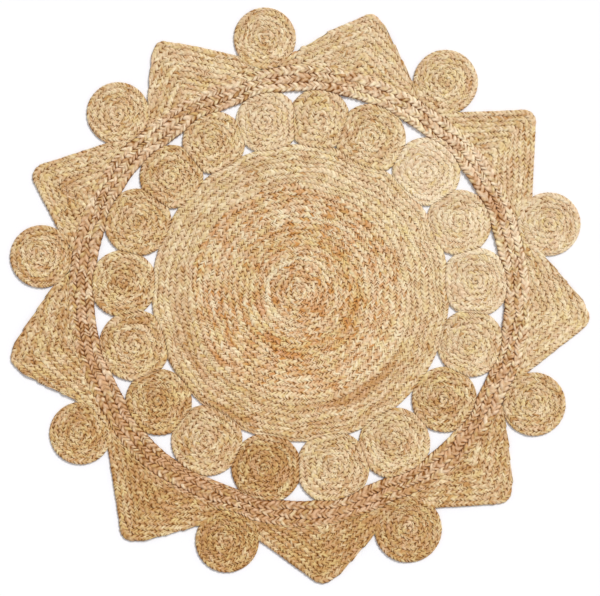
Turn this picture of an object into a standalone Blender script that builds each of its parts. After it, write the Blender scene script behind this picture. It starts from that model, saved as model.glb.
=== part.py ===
"""Round rug of hand-coiled jute braid, 1.2 m across, built from the pieces it is sewn from.

A coiled disc lies in the middle. Small rounds fill the space between it and a ring-shaped band of
thicker braid, and points and edge rounds take turns along the band's outer edge. Every piece is
flat, lies on the ground plane and is pressed a little out of shape by its neighbours, so each
outline is the piece's own free edge, moved back wherever a neighbour pushes on it.

Lengths are in metres. A turn is in degrees, clockwise from the rug's top (+Y) seen from above, and
a distance is measured from the rug's middle.
"""

import math
from collections import namedtuple

import bpy
import numpy as np

COLLECTION = "round_jute_rug"

FINE_THICKNESS = 0.008
BAND_THICKNESS = 0.010
SEAM_GAP = 0.0005
CORNER_SOFTNESS = 0.005

DISC_RADIUS = 0.309
BAND_WIDTH = 0.053

OUTLINE_RAYS = 720
OUTLINE_TOLERANCE = 0.00012
BISECTIONS = 26
BAND_START_DEPTH = 0.010
NEIGHBOUR_REACH = 0.03
POINT_MIDDLE_DEPTH = 0.075
BOW_LENGTH = 0.15

PALE_STRAW = (0.72, 0.58, 0.38)
WARM_JUTE = (0.50, 0.29, 0.13)
DISC_TONE = 0.40
BAND_TONE = 0.60
JUTE_ROUGHNESS = 0.85

# Tone runs from 0, pale straw, to 1, warm brown. The band's inner edge is where it lies in the
# open gap just clockwise of each inner round, at GAP_LEAD past the round's own turn.
GAP_LEAD = 10.0
InnerRound = namedtuple("InnerRound", "turn distance radius tone band_edge")
INNER_ROUNDS = (
    InnerRound(6.0, 0.362, 0.065, 0.30, 0.419),
    InnerRound(24.5, 0.352, 0.073, 0.40, 0.417),
    InnerRound(46.0, 0.363, 0.071, 0.00, 0.422),
    InnerRound(66.0, 0.360, 0.068, 0.10, 0.419),
    InnerRound(86.5, 0.364, 0.072, 0.15, 0.425),
    InnerRound(106.5, 0.368, 0.070, 0.25, 0.425),
    InnerRound(126.5, 0.372, 0.068, 0.60, 0.430),
    InnerRound(148.0, 0.368, 0.074, 0.35, 0.423),
    InnerRound(169.5, 0.369, 0.076, 0.35, 0.433),
    InnerRound(191.0, 0.371, 0.073, 1.00, 0.428),
    InnerRound(212.5, 0.363, 0.074, 0.50, 0.435),
    InnerRound(232.5, 0.372, 0.069, 0.75, 0.427),
    InnerRound(252.5, 0.362, 0.074, 0.55, 0.430),
    InnerRound(273.0, 0.369, 0.070, 0.60, 0.428),
    InnerRound(293.5, 0.369, 0.070, 0.55, 0.427),
    InnerRound(312.0, 0.361, 0.066, 0.55, 0.414),
    InnerRound(330.0, 0.361, 0.065, 0.45, 0.413),
    InnerRound(349.0, 0.362, 0.066, 0.25, 0.420),
)

EdgeRound = namedtuple("EdgeRound", "turn distance radius tone")
EDGE_ROUNDS = (
    EdgeRound(34.5, 0.532, 0.067, 0.35),
    EdgeRound(74.5, 0.535, 0.066, 0.25),
    EdgeRound(115.5, 0.537, 0.066, 0.55),
    EdgeRound(155.5, 0.539, 0.070, 0.80),
    EdgeRound(196.5, 0.537, 0.066, 1.00),
    EdgeRound(237.5, 0.542, 0.065, 0.75),
    EdgeRound(278.0, 0.544, 0.065, 0.55),
    EdgeRound(314.5, 0.532, 0.065, 0.45),
    EdgeRound(352.0, 0.534, 0.0645, 0.35),
)

# A point's two sides leave its tip at slope_before from its axis on the anticlockwise side and at
# slope_after on the clockwise side. Each then bows in by bow_before or bow_after, BOW_LENGTH on.
EdgePoint = namedtuple(
    "EdgePoint", "turn tip_distance tip_radius slope_before slope_after bow_before bow_after tone"
)
EDGE_POINTS = (
    EdgePoint(14.5, 0.598, 0.020, 47.5, 42.0, 0.000, 0.000, 0.35),
    EdgePoint(52.5, 0.609, 0.025, 34.5, 51.0, 0.000, 0.004, 0.25),
    EdgePoint(95.0, 0.602, 0.030, 45.5, 43.5, 0.000, 0.002, 0.25),
    EdgePoint(135.0, 0.608, 0.027, 39.0, 50.0, 0.000, 0.004, 0.55),
    EdgePoint(175.5, 0.605, 0.027, 47.0, 51.0, 0.000, 0.006, 0.90),
    EdgePoint(215.5, 0.627, 0.024, 40.5, 44.5, 0.000, 0.002, 0.90),
    EdgePoint(257.0, 0.618, 0.025, 41.0, 44.0, 0.000, 0.000, 0.60),
    EdgePoint(294.5, 0.609, 0.028, 38.0, 42.5, 0.000, 0.000, 0.55),
    EdgePoint(330.5, 0.598, 0.018, 35.0, 54.5, 0.000, 0.017, 0.35),
)


def direction(turn):
    """The unit vector, or vectors, that point away from the middle at a turn."""
    angle = np.radians(turn)
    return np.stack([np.sin(angle), np.cos(angle)], axis=-1)


def turn_of(spots):
    """The turn at which each spot lies, seen from the rug's middle."""
    return np.degrees(np.arctan2(spots[..., 0], spots[..., 1])) % 360.0


def band_inner_radius(turn):
    """The band's inner edge at a turn, eased along a half cosine from each gap to the next."""
    gap_turns = np.array([row.turn + GAP_LEAD for row in INNER_ROUNDS]) % 360.0
    order = np.argsort(gap_turns)
    starts = gap_turns[order]
    edges = np.array([row.band_edge for row in INNER_ROUNDS])[order]
    past_start = (turn - starts[0]) % 360.0 + starts[0]
    gap = np.searchsorted(starts, past_start, side="right") - 1
    spans = np.diff(starts, append=starts[0] + 360.0)
    ease = (1.0 - np.cos(np.pi * (past_start - starts[gap]) / spans[gap])) / 2
    return edges[gap] + ease * (np.roll(edges, -1)[gap] - edges[gap])


class Coil:
    """A round piece, a circle wherever nothing presses on it."""

    def __init__(self, name, turn, distance, radius, tone):
        self.name = name
        self.middle = distance * direction(turn)
        self.reach = radius
        self.radius = radius
        self.thickness = FINE_THICKNESS
        self.tone = tone

    def free_edge(self, spots):
        """How far each spot lies outside the circle, negative inside it."""
        return np.linalg.norm(spots - self.middle, axis=-1) - self.radius


class Point:
    """A piece with a rounded tip, two gently bowed sides and the band's outer edge for its base."""

    def __init__(self, name, row):
        self.name = name
        self.row = row
        self.axis = direction(row.turn)
        self.middle = (row.tip_distance - POINT_MIDDLE_DEPTH) * self.axis
        self.reach = 2 * POINT_MIDDLE_DEPTH
        self.tip_middle = (row.tip_distance - row.tip_radius) * self.axis
        self.thickness = FINE_THICKNESS
        self.tone = row.tone

    def side(self, offsets, normal, bow):
        """How far each offset from the tip's middle lies past one bowed side."""
        along = np.linalg.norm(offsets, axis=-1) / BOW_LENGTH
        return offsets @ normal + bow * along * along

    def sides(self, spots):
        """The further of the two sides, or the round tip between them."""
        offsets = spots - self.tip_middle
        normal_before = direction(self.row.turn - 90.0 + self.row.slope_before)
        normal_after = direction(self.row.turn + 90.0 - self.row.slope_after)
        before = offsets @ normal_before
        after = offsets @ normal_after
        across = normal_before @ normal_after
        in_tip = (before > across * after) & (after > across * before)
        bowed = np.maximum(
            self.side(offsets, normal_before, self.row.bow_before),
            self.side(offsets, normal_after, self.row.bow_after),
        )
        return np.where(in_tip, np.linalg.norm(offsets, axis=-1), bowed) - self.row.tip_radius

    def free_edge(self, spots):
        """The furthest of the sides, the band's outer edge and the edge rounds beside the point."""
        distance = np.linalg.norm(spots, axis=-1)
        base = band_inner_radius(turn_of(spots)) + BAND_WIDTH - distance
        edge = larger_softly(self.sides(spots), base)
        for row in EDGE_ROUNDS:
            from_round = np.linalg.norm(spots - row.distance * direction(row.turn), axis=-1)
            edge = larger_softly(edge, row.radius - from_round)
        far_side = min(row.band_edge for row in INNER_ROUNDS) - spots @ self.axis
        return np.maximum(edge, far_side)


class Band:
    """The ring between the inner rounds and the edge."""

    name = "band"
    middle = np.zeros(2)
    reach = max(row.band_edge for row in INNER_ROUNDS) + BAND_WIDTH
    thickness = BAND_THICKNESS
    tone = BAND_TONE

    def free_edge(self, spots):
        """How far each spot lies outside the ring, on either side of it."""
        past_inner_edge = np.linalg.norm(spots, axis=-1) - band_inner_radius(turn_of(spots))
        return np.abs(past_inner_edge - BAND_WIDTH / 2) - BAND_WIDTH / 2


def larger_softly(first, second):
    """The larger of two values, eased where they are nearly equal, which rounds the corners."""
    near = np.maximum(CORNER_SOFTNESS - np.abs(first - second), 0.0) / CORNER_SOFTNESS
    return np.maximum(first, second) + near * near * CORNER_SOFTNESS / 4


def pressed_edge(piece, neighbours, spots):
    """The piece's edge once each neighbour it would overlap has pushed it halfway back."""
    own = piece.free_edge(spots)
    pushed = np.full_like(own, -np.inf)
    for other in neighbours:
        pushed = larger_softly(pushed, (own - other.free_edge(spots)) / 2)
    return np.maximum(own, pushed) + SEAM_GAP / 2


def neighbours_of(piece, pieces):
    """The pieces near enough to press on this one. Points only fill the room the rest leave."""
    if isinstance(piece, Point):
        return []
    near = []
    for other in pieces:
        if isinstance(other, Point):
            continue
        apart = np.linalg.norm(piece.middle - other.middle)
        if other is not piece and apart < piece.reach + other.reach + NEIGHBOUR_REACH:
            near.append(other)
    return near


def trace(piece, neighbours, inside, outside):
    """The edge on rays from the piece's middle, halved in on between two radii."""
    rays = direction(np.linspace(0.0, 360.0, OUTLINE_RAYS, endpoint=False))
    low = inside * np.ones(OUTLINE_RAYS)
    high = outside * np.ones(OUTLINE_RAYS)
    for _ in range(BISECTIONS):
        halfway = (low + high) / 2
        is_inside = pressed_edge(piece, neighbours, piece.middle + halfway[:, None] * rays) < 0
        low = np.where(is_inside, halfway, low)
        high = np.where(is_inside, high, halfway)
    return piece.middle + low[:, None] * rays


def strays_from_chord(points):
    """The most that the points between the first and last stray from the line joining them."""
    chord = points[-1] - points[0]
    offsets = points[1:-1] - points[0]
    return np.max(np.abs(offsets[:, 0] * chord[1] - offsets[:, 1] * chord[0])) / np.hypot(*chord)


def thin_out(outline):
    """Keep only the points that the closed outline's shape needs."""
    closed = np.vstack([outline, outline[:1]])
    kept = [0]
    for end in range(2, len(closed)):
        if strays_from_chord(closed[kept[-1]:end + 1]) > OUTLINE_TOLERANCE:
            kept.append(end - 1)
    return closed[kept]


def outlines_of(piece, pieces):
    """The closed edges of a piece: an outer and an inner one for the band, one for the rest."""
    neighbours = neighbours_of(piece, pieces)
    if isinstance(piece, Band):
        centreline = piece.reach - BAND_WIDTH / 2 - BAND_START_DEPTH
        outer = trace(piece, neighbours, centreline, centreline + BAND_WIDTH)
        inner = trace(piece, neighbours, centreline, centreline - BAND_WIDTH)
        return [thin_out(outer), thin_out(inner)]
    return [thin_out(trace(piece, neighbours, 0.0, piece.reach + NEIGHBOUR_REACH))]


def jute_material(name, tone):
    """Plain rough jute, mixed between the pale and the warm colour."""
    colour = [pale + tone * (warm - pale) for pale, warm in zip(PALE_STRAW, WARM_JUTE)]
    material = bpy.data.materials.new(name)
    material.use_nodes = True
    shader = material.node_tree.nodes["Principled BSDF"]
    shader.inputs["Base Color"].default_value = (*colour, 1.0)
    shader.inputs["Roughness"].default_value = JUTE_ROUGHNESS
    shader.inputs["Metallic"].default_value = 0.0
    return material


def flat_piece(piece, outlines, rug_middle, collection):
    """A filled flat curve with the piece's thickness, resting on the ground plane."""
    curve = bpy.data.curves.new(piece.name, "CURVE")
    curve.dimensions = "2D"
    curve.fill_mode = "BOTH"
    curve.extrude = piece.thickness / 2
    for outline in outlines:
        spline = curve.splines.new("POLY")
        spline.points.add(len(outline) - 1)
        for point, (x, y) in zip(spline.points, outline - piece.middle):
            point.co = (x, y, 0.0, 1.0)
        spline.use_cyclic_u = True
    curve.materials.append(jute_material("jute_" + piece.name, piece.tone))
    flat = bpy.data.objects.new(piece.name, curve)
    flat.location = (*(piece.middle - rug_middle), piece.thickness / 2)
    collection.objects.link(flat)
    return flat


def all_pieces():
    """Every piece of the rug, from its middle outwards."""
    pieces = [Coil("centre_disc", 0.0, 0.0, DISC_RADIUS, DISC_TONE)]
    for number, row in enumerate(INNER_ROUNDS, start=1):
        name = f"inner_round_{number:02d}"
        pieces.append(Coil(name, row.turn, row.distance, row.radius, row.tone))
    pieces.append(Band())
    for number, row in enumerate(EDGE_POINTS, start=1):
        pieces.append(Point(f"edge_point_{number:02d}", row))
    for number, row in enumerate(EDGE_ROUNDS, start=1):
        pieces.append(Coil(f"edge_round_{number:02d}", *row))
    return pieces


def box_middle(outlines):
    """The middle of the smallest upright box around all the outlines."""
    points = np.vstack([outline for group in outlines for outline in group])
    return (points.min(axis=0) + points.max(axis=0)) / 2


def clear_scene():
    """Remove whatever the scene holds."""
    for leftover in list(bpy.data.objects):
        bpy.data.objects.remove(leftover, do_unlink=True)


def build_rug():
    """Build every piece in the rug's own collection, with the rug's middle on the origin."""
    clear_scene()
    collection = bpy.data.collections.new(COLLECTION)
    bpy.context.scene.collection.children.link(collection)
    pieces = all_pieces()
    outlines = [outlines_of(piece, pieces) for piece in pieces]
    rug_middle = box_middle(outlines)
    for piece, edges in zip(pieces, outlines):
        flat_piece(piece, edges, rug_middle, collection)


build_rug()
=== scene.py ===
"""Looks of the round jute rug: every coil of braid, its jute finish, and a plain studio.

Each flat solid of the rug gives way to the three-strand braid that it is really sewn from. Rounds
and the disc are coils, the band is three turns, and the points are rows laid in a V. Lengths are
in metres. Turns run clockwise from the rug's top (+Y), seen from above. They are in radians,
but a stain's are in degrees.
"""

import logging
import math
import zlib
from dataclasses import dataclass, field, replace
from enum import Enum

import bpy
import numpy as np
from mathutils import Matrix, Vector


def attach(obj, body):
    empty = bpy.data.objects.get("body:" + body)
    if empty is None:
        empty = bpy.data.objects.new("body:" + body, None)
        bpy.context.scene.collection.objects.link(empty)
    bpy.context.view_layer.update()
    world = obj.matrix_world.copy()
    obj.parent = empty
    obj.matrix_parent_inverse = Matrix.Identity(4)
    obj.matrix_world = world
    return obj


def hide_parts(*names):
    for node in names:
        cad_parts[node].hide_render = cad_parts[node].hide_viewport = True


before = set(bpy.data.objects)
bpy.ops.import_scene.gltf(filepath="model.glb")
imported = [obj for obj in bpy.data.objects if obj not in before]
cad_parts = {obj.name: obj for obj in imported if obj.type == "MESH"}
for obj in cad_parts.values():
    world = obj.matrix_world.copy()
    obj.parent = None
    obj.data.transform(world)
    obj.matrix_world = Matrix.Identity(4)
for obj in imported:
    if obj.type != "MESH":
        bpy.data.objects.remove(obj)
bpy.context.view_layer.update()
LOG = logging.getLogger("jute_rug")
FULL_TURN = 2.0 * math.pi
Colour = tuple[float, float, float]
Triple = tuple[float, float, float]

# A route's half width shrinks by its slope to this share at most, and never below this width.
LEAST_SLOPE = 0.35
LEAST_HALF_WIDTH = 0.0003

# The share of a braid's half width at which its cut ends are measured.
TRIMMED_SHARE = 0.9

# The places of a Mix node's colour sockets, whose names its number sockets share.
MIX_FIRST = 6
MIX_SECOND = 7
MIX_COLOUR = 2


class Part(Enum):
    """The kinds of piece that the rug is sewn from, by the record's material slot."""

    CENTRE = "centre_braid"
    INNER_ROUND = "inner_braid"
    BAND = "band_braid"
    EDGE_POINT = "point_braid"
    EDGE_ROUND = "edge_braid"


# ---------------------------------------------------------------- small helpers


def direction(turn: np.ndarray) -> np.ndarray:
    """Unit vectors that point away from a middle: the sine and the cosine of each turn."""
    return np.stack([np.sin(turn), np.cos(turn)], axis=-1)


def smooth_step(share: np.ndarray) -> np.ndarray:
    """Ease from 0 to 1 over the same span: three times the square less twice the cube."""
    held = np.clip(share, 0.0, 1.0)
    return held * held * (3.0 - 2.0 * held)


def knotted_noise(places: np.ndarray, spacing: float, random: np.random.Generator) -> np.ndarray:
    """Smooth noise along a line: random knots a spacing apart, eased from each to the next.

    Args:
        places: Positions along the line, from 0 up.
        spacing: Distance between knots, in the same unit.
        random: Seeded source of the knots' values.

    Returns:
        A value from -1 to 1 for each place.
    """
    knots = random.uniform(-1.0, 1.0, int(np.max(places) / spacing) + 3)
    along = places / spacing
    before = np.floor(along).astype(int)
    ease = smooth_step(along - before)
    return knots[before] + ease * (knots[before + 1] - knots[before])


def least_distance(spots: np.ndarray, corners: np.ndarray, closed: bool) -> np.ndarray:
    """The distance from each spot to the nearest of a line's straight sides.

    The nearest point of a side is its start plus the side times the clamped share along it.

    Args:
        spots: Points, in the last axis.
        corners: The line's corners in order.
        closed: Whether the last corner joins the first.

    Returns:
        One distance for each spot.
    """
    sides = np.roll(corners, -1, axis=0) - corners
    count = len(corners) if closed else len(corners) - 1
    least = np.full(spots.shape[:-1], np.inf)
    for start, side in zip(corners[:count], sides[:count]):
        offset = spots - start
        along = np.clip((offset @ side) / (side @ side), 0.0, 1.0)
        gap = offset - along[..., None] * side
        least = np.minimum(least, (gap * gap).sum(axis=-1))
    return np.sqrt(least)


def level_radii(depth: np.ndarray, reach: np.ndarray, wanted: np.ndarray) -> np.ndarray:
    """Where each wanted depth is met on each ray, going outwards.

    Args:
        depth: The depth at each step of each ray, a row for each ray.
        reach: The distance along the ray at each step, of the same shape.
        wanted: The depths to find.

    Returns:
        The distances, a row for each wanted depth and a column for each ray.
    """
    falling = np.minimum.accumulate(depth, axis=1)
    before = (falling[:, :, None] > wanted[None, None, :]).sum(axis=1) - 1
    before = np.clip(before, 0, depth.shape[1] - 2)
    high = np.take_along_axis(falling, before, axis=1)
    low = np.take_along_axis(falling, before + 1, axis=1)
    part = np.clip((high - wanted) / np.maximum(high - low, 1e-9), 0.0, 1.0)
    near = np.take_along_axis(reach, before, axis=1)
    far = np.take_along_axis(reach, before + 1, axis=1)
    return (near + part * (far - near)).T


def grid_blend(grid: np.ndarray, row: np.ndarray, column: np.ndarray, wraps: bool) -> np.ndarray:
    """Read a grid between its rows and columns, by blending the four nearest values.

    Args:
        grid: The values.
        row: Wanted rows, with fractions.
        column: Wanted columns, with fractions.
        wraps: Whether the last column meets the first.

    Returns:
        One value for each wanted place.
    """
    rows, columns = grid.shape
    upper = np.clip(np.floor(row).astype(int), 0, rows - 2)
    down = np.clip(row - upper, 0.0, 1.0)
    left = np.floor(column).astype(int)
    left = left if wraps else np.clip(left, 0, columns - 2)
    over = column - left
    left = left % columns
    right = (left + 1) % columns
    first = grid[upper, left] + over * (grid[upper, right] - grid[upper, left])
    second = grid[upper + 1, left] + over * (grid[upper + 1, right] - grid[upper + 1, left])
    return first + down * (second - first)


# ---------------------------------------------------------------- outlines and braid


@dataclass(frozen=True)
class Outline:
    """A line of corners seen from above, in clockwise order around a middle."""

    middle: np.ndarray
    turns: np.ndarray
    corners: np.ndarray

    @classmethod
    def around(cls, spots: np.ndarray, middle: np.ndarray) -> "Outline":
        """Put corners in order around a middle, and measure them from it.

        Args:
            spots: The corners, in any order.
            middle: The point to measure them from.

        Returns:
            The outline.
        """
        offsets = np.unique(np.round(spots - middle, 6), axis=0)
        turns = np.arctan2(offsets[:, 0], offsets[:, 1]) % FULL_TURN
        order = np.argsort(turns)
        return cls(middle, turns[order], offsets[order])

    @property
    def size(self) -> tuple[float, float]:
        """The outline's width and length."""
        width, length = np.ptp(self.corners, axis=0)
        return float(width), float(length)

    def side_after(self, turn: np.ndarray) -> np.ndarray:
        """The number of the corner that ends the side which each ray meets."""
        return np.searchsorted(self.turns, turn % FULL_TURN, side="right") % len(self.turns)

    def radius(self, turn: np.ndarray) -> np.ndarray:
        """The distance from the middle to the outline.

        A ray meets the side from corner a to corner b at cross(a, b - a) / cross(ray, b - a).

        Args:
            turn: The turns to look along.

        Returns:
            One distance for each turn.
        """
        after = self.side_after(turn)
        start = self.corners[after - 1]
        side = self.corners[after] - start
        ray = direction(turn)
        reach = start[..., 0] * side[..., 1] - start[..., 1] * side[..., 0]
        spread = ray[..., 0] * side[..., 1] - ray[..., 1] * side[..., 0]
        return reach / spread

    def clearance(self, spots: np.ndarray) -> np.ndarray:
        """How far inside the outline spots lie, along the rays from the middle.

        Args:
            spots: Points, in the last axis.

        Returns:
            One distance for each spot, below 0 outside the outline.
        """
        offset = spots - self.middle
        turn = np.arctan2(offset[..., 0], offset[..., 1])
        return self.radius(turn) - np.linalg.norm(offset, axis=-1)


@dataclass(frozen=True)
class OpenLine(Outline):
    """A line of corners that doesn't close. Its turns rise from the first to the last."""

    def side_after(self, turn: np.ndarray) -> np.ndarray:
        """The number of the corner that ends the side which each ray meets."""
        return np.clip(np.searchsorted(self.turns, turn), 1, len(self.turns) - 1)


def node_corners(node: str) -> np.ndarray:
    """The corners of a flat solid's outline, seen from above, from the frame's own mesh.

    Args:
        node: The solid's name.

    Returns:
        The corners, with X and Y in the last axis.
    """
    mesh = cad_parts[node].data
    spots = np.empty(3 * len(mesh.vertices))
    mesh.vertices.foreach_get("co", spots)
    return spots.reshape(-1, 3)[:, :2]


def box_middle(corners: np.ndarray) -> np.ndarray:
    """The middle of the corners' box."""
    return (corners.min(axis=0) + corners.max(axis=0)) / 2.0


@dataclass(frozen=True)
class Braid:
    """A flat three-strand braid. Its two columns of lobes slant forwards to the middle, in a V.

    The section is a ring of corners, top first. Each corner's height goes from its groove
    height, between two lobes, to its crest height, on a lobe's back. Heights run from -1
    underneath to 1 on top. Each corner also gets painted shade: how dark it is painted at the
    bottom of a groove, where shade falls, and how dark it is painted all along the braid, most
    where it meets its neighbours. Each lobe's painted shade is scaled by a random share from an
    uneven range. Uneven pitch and height are the shares by which lobes differ. The braid is a
    little wider than its row, by its press, so that it presses into its neighbours.
    """

    width: float
    thickness: float
    lobe_pitch: float
    slant: float = 1.2
    steps: int = 4
    uneven_pitch: float = 0.42
    uneven_height: float = 0.13
    press: float = 1.04
    edge_swell: float = 0.11
    middle_sway: float = 0.22
    lobe_squareness: float = 2.2
    edge_sharpness: int = 3
    least_thickness: float = 0.3
    uneven_painted_shade: tuple[float, float] = (0.25, 1.40)
    across: tuple[float, ...] = (-1.0, -0.76, -0.42, 0.0, 0.42, 0.76, 1.0, 0.50, 0.0, -0.50)
    crest: tuple[float, ...] = (0.32, 0.82, 1.0, 0.80, 1.0, 0.82, 0.32, -0.80, -1.0, -0.80)
    groove: tuple[float, ...] = (-0.10, 0.28, 0.46, 0.66, 0.46, 0.28, -0.10, -0.74, -0.95, -0.74)
    # Painted shade: how dark each corner is painted at a groove's bottom, and all along the braid.
    painted_shade: tuple[float, ...] = (0.85, 0.95, 0.95, 0.55, 0.95, 0.95, 0.85, 0.50, 0.40, 0.50)
    painted_edge_shade: tuple[float, ...] = (0.24, 0.02, 0.0, 0.10, 0.0, 0.02, 0.24, 0.20, 0.0, 0.20)

    @property
    def sides(self) -> int:
        """The number of corners around the section."""
        return len(self.across)

    def lobe_swell(self, phase: np.ndarray) -> np.ndarray:
        """A lobe's own swell: 0 in the groove before it, 1 at its crest and 0 in the next one."""
        return 1.0 - np.abs(2.0 * (phase % 1.0) - 1.0) ** self.lobe_squareness


@dataclass(frozen=True)
class Route:
    """The path of a braid through its piece, measured along its length."""

    length: np.ndarray
    spots: np.ndarray
    sideways: np.ndarray
    half_width: np.ndarray

    @classmethod
    def between(
        cls, middle: np.ndarray, turn: np.ndarray, inner: np.ndarray, outer: np.ndarray
    ) -> "Route":
        """A path halfway between an inner and an outer edge.

        Its half width is half of the edges' distance, times the cosine between the ray from the
        middle and the path's normal.

        Args:
            middle: The point that the path goes around, clockwise.
            turn: The turns of the rays.
            inner: The inner edge's distance from the middle on each ray.
            outer: The outer edge's distance from the middle on each ray.

        Returns:
            The route.
        """
        ray = direction(turn)
        spots = middle + ((inner + outer) / 2.0)[:, None] * ray
        heading = np.gradient(spots, axis=0)
        speed = np.linalg.norm(heading, axis=1)
        sideways = np.stack([-heading[:, 1], heading[:, 0]], axis=1) / speed[:, None]
        slope = np.clip((sideways * ray).sum(axis=1), LEAST_SLOPE, 1.0)
        half_width = np.maximum((outer - inner) / 2.0 * slope, LEAST_HALF_WIDTH)
        length = np.concatenate([[0.0], np.cumsum((speed[1:] + speed[:-1]) / 2.0)])
        return cls(length, spots, sideways, half_width)

    def at(self, values: np.ndarray, along: np.ndarray) -> np.ndarray:
        """Read values that are known along the route at other places on it."""
        return np.interp(along, self.length, values)

    def place(self, along: np.ndarray, across: np.ndarray) -> tuple[np.ndarray, np.ndarray]:
        """Places beside the route: the path's spot, plus sideways times across half widths.

        Args:
            along: Lengths along the route.
            across: Distances from the path, in half widths.

        Returns:
            The places' X and their Y.
        """
        shift = self.at(self.half_width, along) * across
        east = self.at(self.spots[:, 0], along) + self.at(self.sideways[:, 0], along) * shift
        north = self.at(self.spots[:, 1], along) + self.at(self.sideways[:, 1], along) * shift
        return east, north


@dataclass(frozen=True)
class Run:
    """One length of braid on a route, with its own start and end at each corner across it."""

    route: Route
    starts: np.ndarray
    ends: np.ndarray

    @property
    def area(self) -> float:
        """The area that the braid covers, in its row: its width summed over its length.

        Returns:
            The area.
        """
        length = self.route.length
        inside = (length >= self.starts.mean()) & (length <= self.ends.mean())
        return float((2.0 * self.route.half_width * np.gradient(length) * inside).sum())

    @classmethod
    def whole(cls, route: Route, braid: Braid) -> "Run":
        """A run over the whole of a route, cut square at both ends."""
        return cls(route, np.zeros(braid.sides), np.full(braid.sides, route.length[-1]))

    @classmethod
    def trimmed(cls, route: Route, braid: Braid, outline: Outline, slack: float) -> "Run":
        """A run over the part of a route that lies inside an outline, cut along it.

        Each corner of the braid's section starts and ends where its own line along the braid
        crosses the outline, moved out by the slack.

        Args:
            route: The route.
            braid: The braid.
            outline: The outline.
            slack: How far the cut ends reach past the outline.

        Returns:
            The run.
        """
        across = TRIMMED_SHARE * np.array(braid.across)[:, None]
        east, north = route.place(route.length[None, :], across)
        clear = outline.clearance(np.stack([east, north], axis=-1))
        inside = (clear > -slack) | (clear >= clear.max(axis=1, keepdims=True))
        first = inside.argmax(axis=1)
        last = inside.shape[1] - 1 - inside[:, ::-1].argmax(axis=1)
        return cls(route, route.length[first], route.length[last])


# ---------------------------------------------------------------- how the braid is laid


@dataclass(frozen=True)
class Waver:
    """The unevenness of hand sewing: how far the edge of each turn strays, in braid widths.

    Counts are whole waves in one turn, and drift is how far a wave turns from level to level.
    """

    seed: int
    size: float = 0.16
    waves: int = 14
    least_counts: float = 3.0
    most_counts: float = 60.0
    most_drift: float = 2.0
    shortest: float = 0.028

    def at(self, level: np.ndarray, turn: np.ndarray, radius: np.ndarray) -> np.ndarray:
        """A sum of sine waves around the middle, which drift from one turn to the next.

        Waves that would be shorter than the shortest length, near the middle, fade away.

        Args:
            level: The turn of the coil, counted from outside.
            turn: The angle around the middle.
            radius: The distance from the middle.

        Returns:
            The stray at each place.
        """
        random = np.random.default_rng(self.seed)
        least, most = np.log(self.least_counts), np.log(self.most_counts)
        counts = np.round(np.exp(random.uniform(least, most, self.waves)))
        starts = random.uniform(0.0, FULL_TURN, self.waves)
        drifts = random.uniform(-self.most_drift, self.most_drift, self.waves)
        stray = np.zeros(np.broadcast(level, turn).shape)
        for count, start, drift in zip(counts, starts, drifts):
            fade = np.clip(FULL_TURN * radius / count / self.shortest, 0.0, 1.0) ** 2
            stray = stray + fade * np.sin(count * turn + start + drift * level)
        return self.size * math.sqrt(2.0 / self.waves) * stray


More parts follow.
